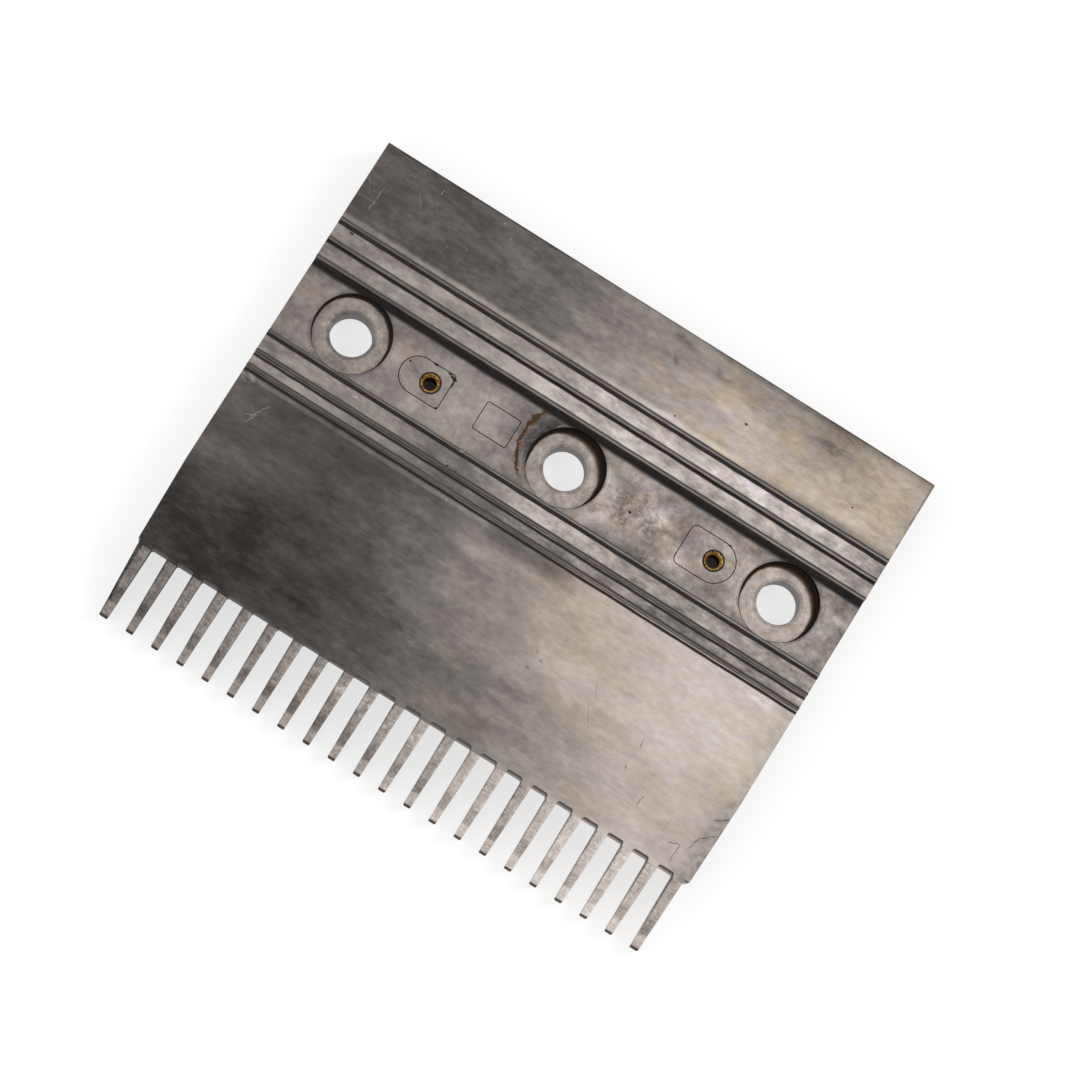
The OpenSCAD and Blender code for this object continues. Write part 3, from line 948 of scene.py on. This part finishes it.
def tread_finish():
    """Treads between the ribs: pale cast skin, softly streaked, with dirt and painted shadow at the feet
    of the ribs.
    """
    f = Finish("cast_tread", 0.75)
    first = f.across(
        (-100, 51), (-80, 51), (-48, 58), (-36, 56), (-12, 63), (0, 70), (24, 73), (46, 78), (60, 70),
        (75, 70), (84, 62), (100, 57),
    )
    second = f.across(
        (-100, 49), (-84, 49), (-48, 57), (-20, 70), (20, 68), (36, 71), (50, 68), (72, 68), (84, 70),
        (100, 57),
    )
    third = f.across(
        (-100, 48), (-72, 55), (-36, 45), (-20, 50), (0, 73), (12, 69), (46, 48), (64, 59), (84, 55),
        (100, 56),
    )
    fourth = f.across(
        (-100, 50), (-84, 55), (-48, 44), (-14, 40), (2, 48), (50, 46), (70, 51), (84, 52), (100, 61)
    )
    rear = f.blend(f.step(f.y, 21, 22), second, first)
    level = f.blend(f.step(f.y, -14, 14), f.blend(f.step(f.y, -20.6, -20), fourth, third), rear)
    clouds = f.grain(0.3, 11, along=2.5, detail=4)
    blotches = f.grain(0.6, 4.5, along=1.8, detail=4) * f.step(f.x, -40, 20, 0.4, 1)
    mottle = f.grain(0.42, 2, along=1.8, detail=5, rough=0.65) * f.step(f.x, -40, 20, 0.85, 1.3)
    level = level + clouds + blotches + mottle + f.grain(0.14, 0.6, along=9) + 0.055
    specks = f.patches(0.8, 0.75, 0.8, detail=1) * f.step(f.x, -60, 30, 0.3, 0.7)
    specks = f.either(specks, f.spots((-94.1, 26.2, 1, 0.5), (-31.2, -19.4, 0.55), (-28, -19.5, 0.45)))
    level = f.blend(specks * 0.7, level, 0.2)
    level += f.spot(-66.4, -16.2, 1.1, 0.8) * f.patches(0.7, 0.4, 0.55) * 0.1
    relief = f.bump(mottle + f.cloud(0.9, detail=4, rough=0.6), 0.05)
    colour = f.metal(f.dirt_and_shadow_at_ribs(level))
    colour = f.tint(f.patches(5, 0.5, 0.62, 0, 0.6, along=1.6), colour, (242, 240, 250))
    return f.wear(colour, mottle * 0.6 + 0.5, relief)


def rib_finish():
    """Ribs: dull grey tops with dirt and painted shadow at both feet, and a line rubbed bright along the
    front edge.
    """
    f = Finish("rib_top", 0.8)
    streaks = f.grain(0.24, 0.35, along=14, detail=4)
    clouds = f.grain(0.24, 7, along=4, detail=4)
    level = f.across((-100, 37), (0, 38), (100, 38)) + streaks + clouds
    bright = f.across((-100, 42), (-20, 49), (10, 53), (60, 53), (100, 57)) + streaks + clouds
    patchy = f.patches(9, 0.3, 0.6, 0.6, 1, along=3)
    level = f.dirt_and_shadow_at_ribs(f.blend(f.rib_lines(0, 0.16, 0.3) * patchy, level, bright))
    nick = f.spots((-29.9, -13.4, 0.6, 0.45), (-29.2, -12.8, 0.4)) * f.patches(0.5, 0.35, 0.5)
    return f.wear(f.metal(level + nick * 0.3), 0.48, f.bump(streaks, 0.04))


def channel_finish():
    """Sunk channel: cast skin clouded grey and brown, with stains round the holes and a rust line."""
    f = Finish("channel_skin", 0.7)
    level = f.across(
        (-100, 47), (-60, 52), (-40, 55), (-26, 55), (-15, 48), (13, 63), (26, 56), (60, 56), (84, 58),
        (100, 54),
    )
    front = f.step(f.y, -10.5, -6, 1, 0) * f.span(f.x, 22, 40, 9) * -0.11
    rear = f.step(f.y, 5, 11) * -0.06
    clouds = f.grain(0.38, 6.5, along=1.4, detail=4, warp=0.6)
    mottle = f.grain(0.26, 1.7, detail=5, rough=0.62)
    pores = f.patches(0.7, 0.7, 0.77, detail=2) * -0.13
    skin = (clouds + mottle) * f.step(f.x, -10, 15, 1, 1.6)
    level = level + front + rear + skin + pores + 0.06

    # The scar right of the middle hole, where the skin has flaked
    far, _ = f.round_hole(0)
    zone = f.step(f.reach(26, -0.5, 14, 8) + f.grain(0.5, 4), 0.6, 0.95, 1, 0)
    flakes = f.cloud(4.5, detail=4, rough=0.55, warp=0.8)
    bare = f.step(flakes, 0.47, 0.5, 1, 0) * zone
    pitted = f.grain(0.44, 0.8, rough=0.65) - 0.11
    rims = f.line(flakes, 0.5, 0.004, 0.016) * zone
    level = level + zone * 0.07 + bare * pitted + rims * -0.05
    scars = f.scratches(
        (21, -5.2, 25.8, -4.6), (26, 0.2, 30.5, -1.3), (34, -10.4, 41, -8.6), (30.2, 2.2, 36.5, 2.9)
    )
    level += scars * f.patches(0.9, 0.4, 0.55) * 0.12

    # The rust line left of the middle hole and the stain between them
    off_y = f.y - 3
    beside = f.x - (off_y * off_y * 0.034 - 17 + f.grain(3.2, 2, detail=4))
    rusty = f.span(f.y, -9, 11, 1.5)
    rust = f.line(beside, 0, 0.26, 0.6) * rusty * f.patches(1.4, 0.3, 0.46)
    smear = f.line(beside, 0.2, 0.6, 1.3) * rusty * f.patches(1.8, 0.36, 0.6, detail=4)
    smear = smear * f.step(f.y, -7, 3, 0.35, 1)
    stain = f.span(beside, 0.3, 6, 0.8) * f.step(far, 13.5, 19, 1, 0) * f.step(f.x, -9, -5, 1, 0)
    stain = stain * f.step(f.y, -10, 3, 0.1, 1)
    scuffs = f.grain(0.5, 1, along=2, detail=4, turn=math.radians(50)) - 0.2
    level = f.blend(smear * 0.5, level + stain * scuffs, 0.42)
    level = f.blend(rust * 0.85, level, 0.27)

    # Dirt round the counterbores and the bushes, a painted shadow under the rear rib, and dirt and
    # painted shadow at the ribs
    halo = f.line(far, 12.9, 0.2, 1.1) * -0.06
    arc = f.line(far, 13.6, 0.1, 0.3) * f.step(f.x, 3, 10) * f.span(f.y, -8, 6, 3) * 0.07
    rim = f.line(far, 12.5, 0.1, 0.26) * f.step(f.y, -11, -7) * 0.9
    level = f.blend(rim, level + halo + arc, 0.12)
    bushes = [f.line(f.reach(x, 0), INSERT_R, 0.14, 0.34) for x in INSERT_XS]
    nicks = f.spots(
        (-43.3, 4.8, 1, 0.7), (-45.4, 5.7, 0.9, 0.4), (-50.6, 5.9, 1, 0.5), (-43.6, -5.8, 0.6, 0.5),
        (-43.1, 3.2, 0.4, 1.2), (23.9, -1.1, 0.6, 0.45), (55.6, 6.7, 0.8, 0.4), (-57.9, 2.6, 0.5, 0.4),
    )
    level = f.blend(f.either(nicks, *bushes) * 0.9, level, 0.1)
    shadow = f.step(f.y + f.grain(0.8, 3, along=3), REAR_RIB_Y - 3.5, REAR_RIB_Y - 1.9)
    level = f.dirt_and_shadow_at_ribs(f.blend(shadow * 0.97, level, 0.07))
    nibs = f.spot(-85.6, -10.4, 2, 1.3, 1) * f.patches(0.6, 0.45, 0.6) * 0.24
    colour = f.metal(level + nibs)
    colour = f.tint(f.patches(5, 0.5, 0.62, 0, 0.5, along=1.4), colour, (255, 243, 229))
    colour = f.tint(f.patches(7, 0.5, 0.62, 0, 0.6, along=1.2), colour, (240, 242, 252))
    drops = f.spots((14.8, 2.1, 1.5, 1.5, 1), (35.7, 7, 1.3, 1, 1)) * f.patches(0.9, 0.4, 0.6)
    colour = f.tint(f.either(drops * 0.6, rims * 0.25), colour, (232, 205, 164))
    colour = f.tint(f.either(smear * 0.8, rust), colour, (238, 186, 118))
    relief = f.bump(mottle + bare * f.cloud(1, detail=4, rough=0.7) * 0.8, 0.12)
    return f.wear(colour, clouds * 0.3 + 0.54, relief)


def seat_finish():
    """Counterbores: turned faces gone dull, with painted shadow and brown dirt under the wall at the
    rear and right.
    """
    f = Finish("counterbore_face", 0.75)
    far, way = f.round_hole(math.radians(50))
    _, rear_way = f.round_hole(math.radians(112))
    level = f.across((-100, 55), (-60, 55), (-12, 60), (12, 64), (60, 65), (85, 70), (100, 66))
    mottle = f.grain(0.4, 1.5, detail=5, rough=0.65)
    clouds = f.grain(0.34, 5)
    rings = f.value("TexNoise", {"W": far, "Scale": 2.6, "Detail": 3}, noise_dimensions="1D")
    rings = (rings - 0.5) * f.patches(6, 0.4, 0.65, 0.03, 0.14)
    specks = f.patches(0.7, 0.74, 0.8, detail=1) * -0.16
    level = level + mottle + clouds + rings + specks + 0.05
    # Dark crescent inside the rim at the rear and right, where the wall hides the light: painted shadow,
    # with some dirt
    width = f.step(way, -0.15, 0.95) * 1.9 + f.step(rear_way, -0.3, 0.4) * 0.9
    width = width * f.step(f.x, -50, -20, 0.45, 1)
    inside = CBORE_R - 0.1 - (far + f.grain(0.5, 2.5))
    wall_shadow_and_grime = f.step(inside / f.either(width, 0.05), 0.3, 1.25, 1, 0)
    level = f.blend(wall_shadow_and_grime * 0.96, level, 0.05)
    level = f.blend(f.line(far, CBORE_R, 0.15, 0.2) * f.step(f.y, -11, -6) * 0.85, level, 0.1)
    lip = f.line(far + f.grain(0.7, 2), HOLE_R + 0.4, 0.3, 0.8)
    level = f.blend(f.step(f.z, SEAT_Z - 1.6, SEAT_Z - 0.3, 0.7, 0), level + lip * -0.12, 0.36)
    brown = f.step(wall_shadow_and_grime, 0.05, 0.5) * f.step(f.x, -40, -8, 0.4, 1)
    colour = f.tint(brown, f.metal(level), (236, 200, 158))
    colour = f.tint(f.patches(3, 0.5, 0.62, 0, 0.6, detail=4), colour, (255, 243, 230))
    return f.wear(colour, 0.5, f.bump(mottle + rings * 2, 0.07))


def tooth_finish():
    """Tops of the teeth: filed across, each a little different, with rust left of the middle, painted
    highlights near the roots, painted shade along each left edge and a painted highlight along each
    right edge.
    """
    f = Finish("filed_tooth", 0.8)
    along = f.y - TIP_Y
    level = f.across((-100, 46), (-60, 49), (-30, 55), (-5, 61), (30, 68), (58, 74), (82, 79), (100, 60))
    number = reckon("FLOOR", f.x * (1 / TOOTH_PITCH), 0)
    own = f.value("TexWhiteNoise", {"W": number}, noise_dimensions="1D")
    own = (own - 0.5) * 0.1
    files = f.grain(0.36, 0.3, along=9, rough=0.6)
    mottle = f.grain(0.4, 0.9, detail=4, rough=0.6)
    clouds = f.grain(0.3, 3)
    low = f.span(along, 6, 9, 1.6) * -0.09
    tip = f.span(along, 0.9, 4.6, 0.6) * 0.07
    # Painted highlights near the roots of the middle teeth
    glints = f.spot(-14, TIP_Y + 19, 42, 6.5, 1) * f.patches(2.4, 0.46, 0.64, detail=2) * 0.22
    beside = reckon("FLOORED_MODULO", f.x, TOOTH_PITCH)
    centre = TOOTH_PITCH / 2
    # Darker along each tooth's left edge: painted shade; lighter along its right edge: painted highlight
    left = f.step(beside + f.grain(0.5, 2), centre - 1.9, centre - 0.9, -0.24, 0)
    right = f.step(beside, centre + 0.7, centre + 1.5, 0, 0.06)
    level = level + own + files + mottle + clouds + low + tip + glints + left + right
    level = f.blend(f.step(along, 0.2, 0.9, 1, 0) * 0.85, level, 0.12)
    rust = f.spot(-32, TIP_Y + 13, 26, 10, 0.8) * f.patches(1.3, 0.48, 0.6, detail=4)
    colour = f.tint(rust * 0.6, f.metal(level), (255, 228, 184))
    return f.wear(colour, mottle * 0.6 + 0.42, f.bump(files + mottle, 0.06))


def wall_finish():
    """Walls between the teeth: dark, partly dirt and partly painted shade, lighter towards the foot as a
    painted reflection of the floor.
    """
    f = Finish("tooth_wall", 0.65)
    # Light at the foot: painted reflection of the pale floor; dark higher up: painted shade and dirt
    foot = f.across((-100, 42), (-10, 48), (35, 72), (100, 78))
    level = f.blend(f.step(f.z + f.grain(3, 3), 3, 10.5), foot, 0.15)
    level = level + f.grain(0.24, 2.4, along=2, detail=4) + f.grain(0.16, 0.5)
    level = f.blend(f.step(f.y, TIP_Y + 0.4, TIP_Y + 1, 0.7, 0), level, 0.1)
    return f.wear(f.metal(level), 0.58, f.bump(f.cloud(0.9, detail=4, rough=0.6), 0.06))


def side_finish():
    """Outer sides: milled along their length, handled to a soft grey."""
    f = Finish("milled_side", 0.8)
    lines = f.value("TexNoise", {"W": f.z, "Scale": 5, "Detail": 4}, noise_dimensions="1D")
    level = (lines - 0.5) * 0.3 + 0.52 + f.grain(0.3, 5, along=2, detail=4)
    level = level + f.grain(0.2, 0.7) + f.step(f.z, 1.2, 3.2, 1, 0) * -0.1
    return f.wear(f.metal(level), 0.46, f.bump(lines, 0.05))


def mark_finish():
    """Hairline grooves, filled with old dirt."""
    f = Finish("dirt_in_grooves", 0.2)
    level = f.grain(0.3, 1.2) + 0.11 + f.span(f.x, -33, -17, 1) * 0.16
    return f.wear(f.metal(level), 0.75, f.bump(f.cloud(0.5), 0.05))


def raw_finish():
    """Underside: raw cast skin, dull and mottled, rubbed bright on the seat faces."""
    f = Finish("raw_underside", 0.7)
    flow = f.grain(0.3, 9, along=1.8, detail=5, warp=1.2)
    mottle = f.grain(0.26, 1.6, detail=5, rough=0.65)
    seat = f.step(f.z, 0.02, 0.2, 1, 0) * 0.08
    rubbed = f.step(f.z, 0.02, 0.2, 1, 0) * f.patches(6, 0.45, 0.6, along=3, detail=4) * 0.09
    # Darker up towards the pocket roofs: painted shade in the pockets
    corners = f.step(f.z, POCKET_ROOF_Z - 2.5, POCKET_ROOF_Z - 0.2) * -0.08
    pores = f.patches(0.8, 0.7, 0.76, detail=1) * -0.18
    level = flow + 0.5 + mottle + seat + rubbed + corners + pores
    relief = f.bump(mottle + f.cloud(0.7, detail=4, rough=0.6), 0.08)
    colour = f.tint(f.patches(12, 0.5, 0.65, 0, 0.7), f.metal(level), (255, 242, 226))
    return f.wear(colour, 0.6, relief)


def brass():
    """Turned brass gone brown: bright on the rim where it is rubbed, dark down the thread."""
    f = Finish("turned_brass", 1)
    spots = f.cloud(0.7, detail=4, rough=0.65)
    rubbed = f.tones(spots, ((0.32, (76, 54, 24)), (0.48, (140, 104, 48)), (0.64, (216, 180, 108))))
    far = reckon("MINIMUM", f.reach(INSERT_LEFT_X, 0), f.reach(INSERT_RIGHT_X, 0))
    rim = f.step(far + f.grain(0.3, 0.8), INSERT_R - 0.45, INSERT_R - 0.1)
    rubbed = f.tint(rim, rubbed, (96, 84, 70))
    deep = f.step(f.z, FLOOR_Z - 2.2, FLOOR_Z - 0.3, 0.8, 0)
    glints = f.tones(f.cloud(0.5, detail=2), ((0.42, (106, 70, 30)), (0.6, (218, 164, 86))))
    glints = f.tint(f.step(f.z, FLOOR_Z - 3, FLOOR_Z - 0.8, 1, 0), glints, (128, 108, 84))
    colour = f.value("Mix", {0: deep, 6: rubbed, 7: glints}, 2, data_type="RGBA")
    relief = f.bump(f.cloud(0.6, rough=0.6), 0.12)
    return f.wear(colour, f.step(spots, 0.3, 0.7, 0.52, 0.3), relief)


FINISHES = (
    band_finish, front_finish, tread_finish, rib_finish, channel_finish, seat_finish, mark_finish,
    tooth_finish, wall_finish, side_finish, raw_finish,
)


def region(x, y, z, up):
    """Which finish a face of the casting has, by its place in mm and how far it looks up."""
    side_x = HALF_W - NOSE_INSET
    in_pockets = abs(x) < INNER_HALF_W + 0.2 and FRONT_POCKETS[0] - 1 < y < REAR_POCKETS[1] + 1
    from_hole = min(math.hypot(x - hole_x, y) for hole_x in HOLE_XS)
    in_bore = from_hole < HOLE_R + 0.3 or z > SEAT_Z - 0.5
    at_root = y < ROOT_Y + 0.3 and abs(up) < 0.5 and abs(x) < side_x - 0.5
    if from_hole < CBORE_R + 0.25 and 0.45 < z < FLOOR_Z - 0.01 and in_bore:
        return seat_finish
    if up < -0.3 or (z < POCKET_ROOF_Z and in_pockets):
        return raw_finish
    if y < SLOPE_START_Y + 0.05 or at_root:
        return tooth_finish if up > 0.5 else wall_finish
    if abs(up) < 0.3 and (abs(x) > side_x - 0.2 or y > REAR_Y - 0.1):
        return side_finish
    if min(abs(y - rib_y) for rib_y in RIB_YS) < RIB_TOP_W / 2 + RIB_FLANK_W + 0.1:
        return rib_finish
    if FRONT_RIB_Y < y < REAR_RIB_Y:
        return mark_finish if z < FLOOR_Z - 0.02 else channel_finish
    if RIB_YS[0] < y < BAND_FOOT_Y:
        return tread_finish
    return band_finish if y > 0 else front_finish


def dress_casting(plate):
    plate.data.materials.clear()
    for make_finish in FINISHES:
        plate.data.materials.append(make_finish())
    for face in plate.data.polygons:
        corners = [plate.data.vertices[i].co / MM for i in face.vertices]
        place = [(min(axis) + max(axis)) / 2 for axis in zip(*corners)]
        face.material_index = FINISHES.index(region(*place, face.normal.z))


# Studio


def make_camera():
    data = bpy.data.cameras.new("camera")
    data.lens = LENS
    data.sensor_width = 36
    data.clip_start = 0.01
    data.clip_end = 20
    camera = bpy.data.objects.new("camera", data)
    camera.location = mm(*CAMERA_PLACE)
    camera.rotation_euler = [math.radians(a) for a in CAMERA_TURN]
    bpy.context.collection.objects.link(camera)
    bpy.context.scene.camera = camera


def area_light(name, place, size, power):
    data = bpy.data.lights.new(name, "AREA")
    data.shape = "SQUARE"
    data.size = size
    data.energy = power
    lamp = bpy.data.objects.new(name, data)
    lamp.location = place
    lamp.rotation_euler = (-Vector(place)).to_track_quat("-Z", "Y").to_euler()
    bpy.context.collection.objects.link(lamp)


def studio_tree(owner, kind):
    """A node tree, its output, the rays that show it as seen, and the camera's own rays."""
    owner.use_nodes = True
    tree = owner.node_tree
    tree.nodes.clear()
    rays = add_node(tree, "LightPath", {}).outputs
    kinds = ("Camera", "Glossy", "Transmission")
    camera, glossy, through = [Value(rays[f"Is {ray} Ray"]) for ray in kinds]
    seen = reckon("MAXIMUM", reckon("MAXIMUM", camera, glossy), through)
    return tree, add_node(tree, kind, {}), seen, camera


def make_lights():
    area_light("key", (1.15, 1.0, 1.35), 0.5, KEY_POWER)
    area_light("fill", (-1.0, -0.7, 1.5), 1.4, FILL_POWER)
    world = bpy.data.worlds.new("studio")
    bpy.context.scene.world = world
    tree, out, seen, camera = studio_tree(world, "OutputWorld")
    way = node_value(tree, "TexCoord", {}, "Generated")
    up = node_value(tree, "SeparateXYZ", {"Vector": way}, "Z")
    inputs = {"Value": up, "From Min": 0.3, "From Max": 0.9, "To Min": 1, "To Max": CEILING}
    dimmer = node_value(tree, "MapRange", inputs)
    white = node_value(tree, "Mix", {0: camera, 2: dimmer, 3: 1}, data_type="FLOAT")
    level = node_value(tree, "Mix", {0: seen, 2: AMBIENT, 3: white}, data_type="FLOAT")
    sky = node_value(tree, "Background", {"Color": (1, 1, 1, 1), "Strength": level})
    feed(sky, out.inputs["Surface"])


def make_floor():
    bpy.ops.object.select_all(action="DESELECT")
    bpy.ops.mesh.primitive_plane_add(size=6, location=(0, 0, -0.0002))
    floor = bpy.context.active_object
    floor.name = "floor"
    paper = bpy.data.materials.new("white_paper")
    tree, out, seen, _ = studio_tree(paper, "OutputMaterial")
    matt = node_value(tree, "BsdfDiffuse", {"Color": (PAPER, PAPER, PAPER, 1)})
    glow = node_value(tree, "Emission", {"Strength": seen * GLOW})
    both = node_value(tree, "AddShader", {0: matt, 1: glow})
    feed(both, out.inputs["Surface"])
    floor.data.materials.append(paper)


make_camera()
make_lights()
make_floor()

casting = make_casting()
dress_casting(casting)
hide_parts("comb_plate")
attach(casting, "root")

gold = brass()
for name, node, x in (
    ("left_insert", "left_threaded_insert", INSERT_LEFT_X),
    ("right_insert", "right_threaded_insert", INSERT_RIGHT_X),
):
    bush = make_insert(name, node, x)
    bush.data.materials.clear()
    bush.data.materials.append(gold)

bpy.context.scene.view_settings.view_transform = "Standard"
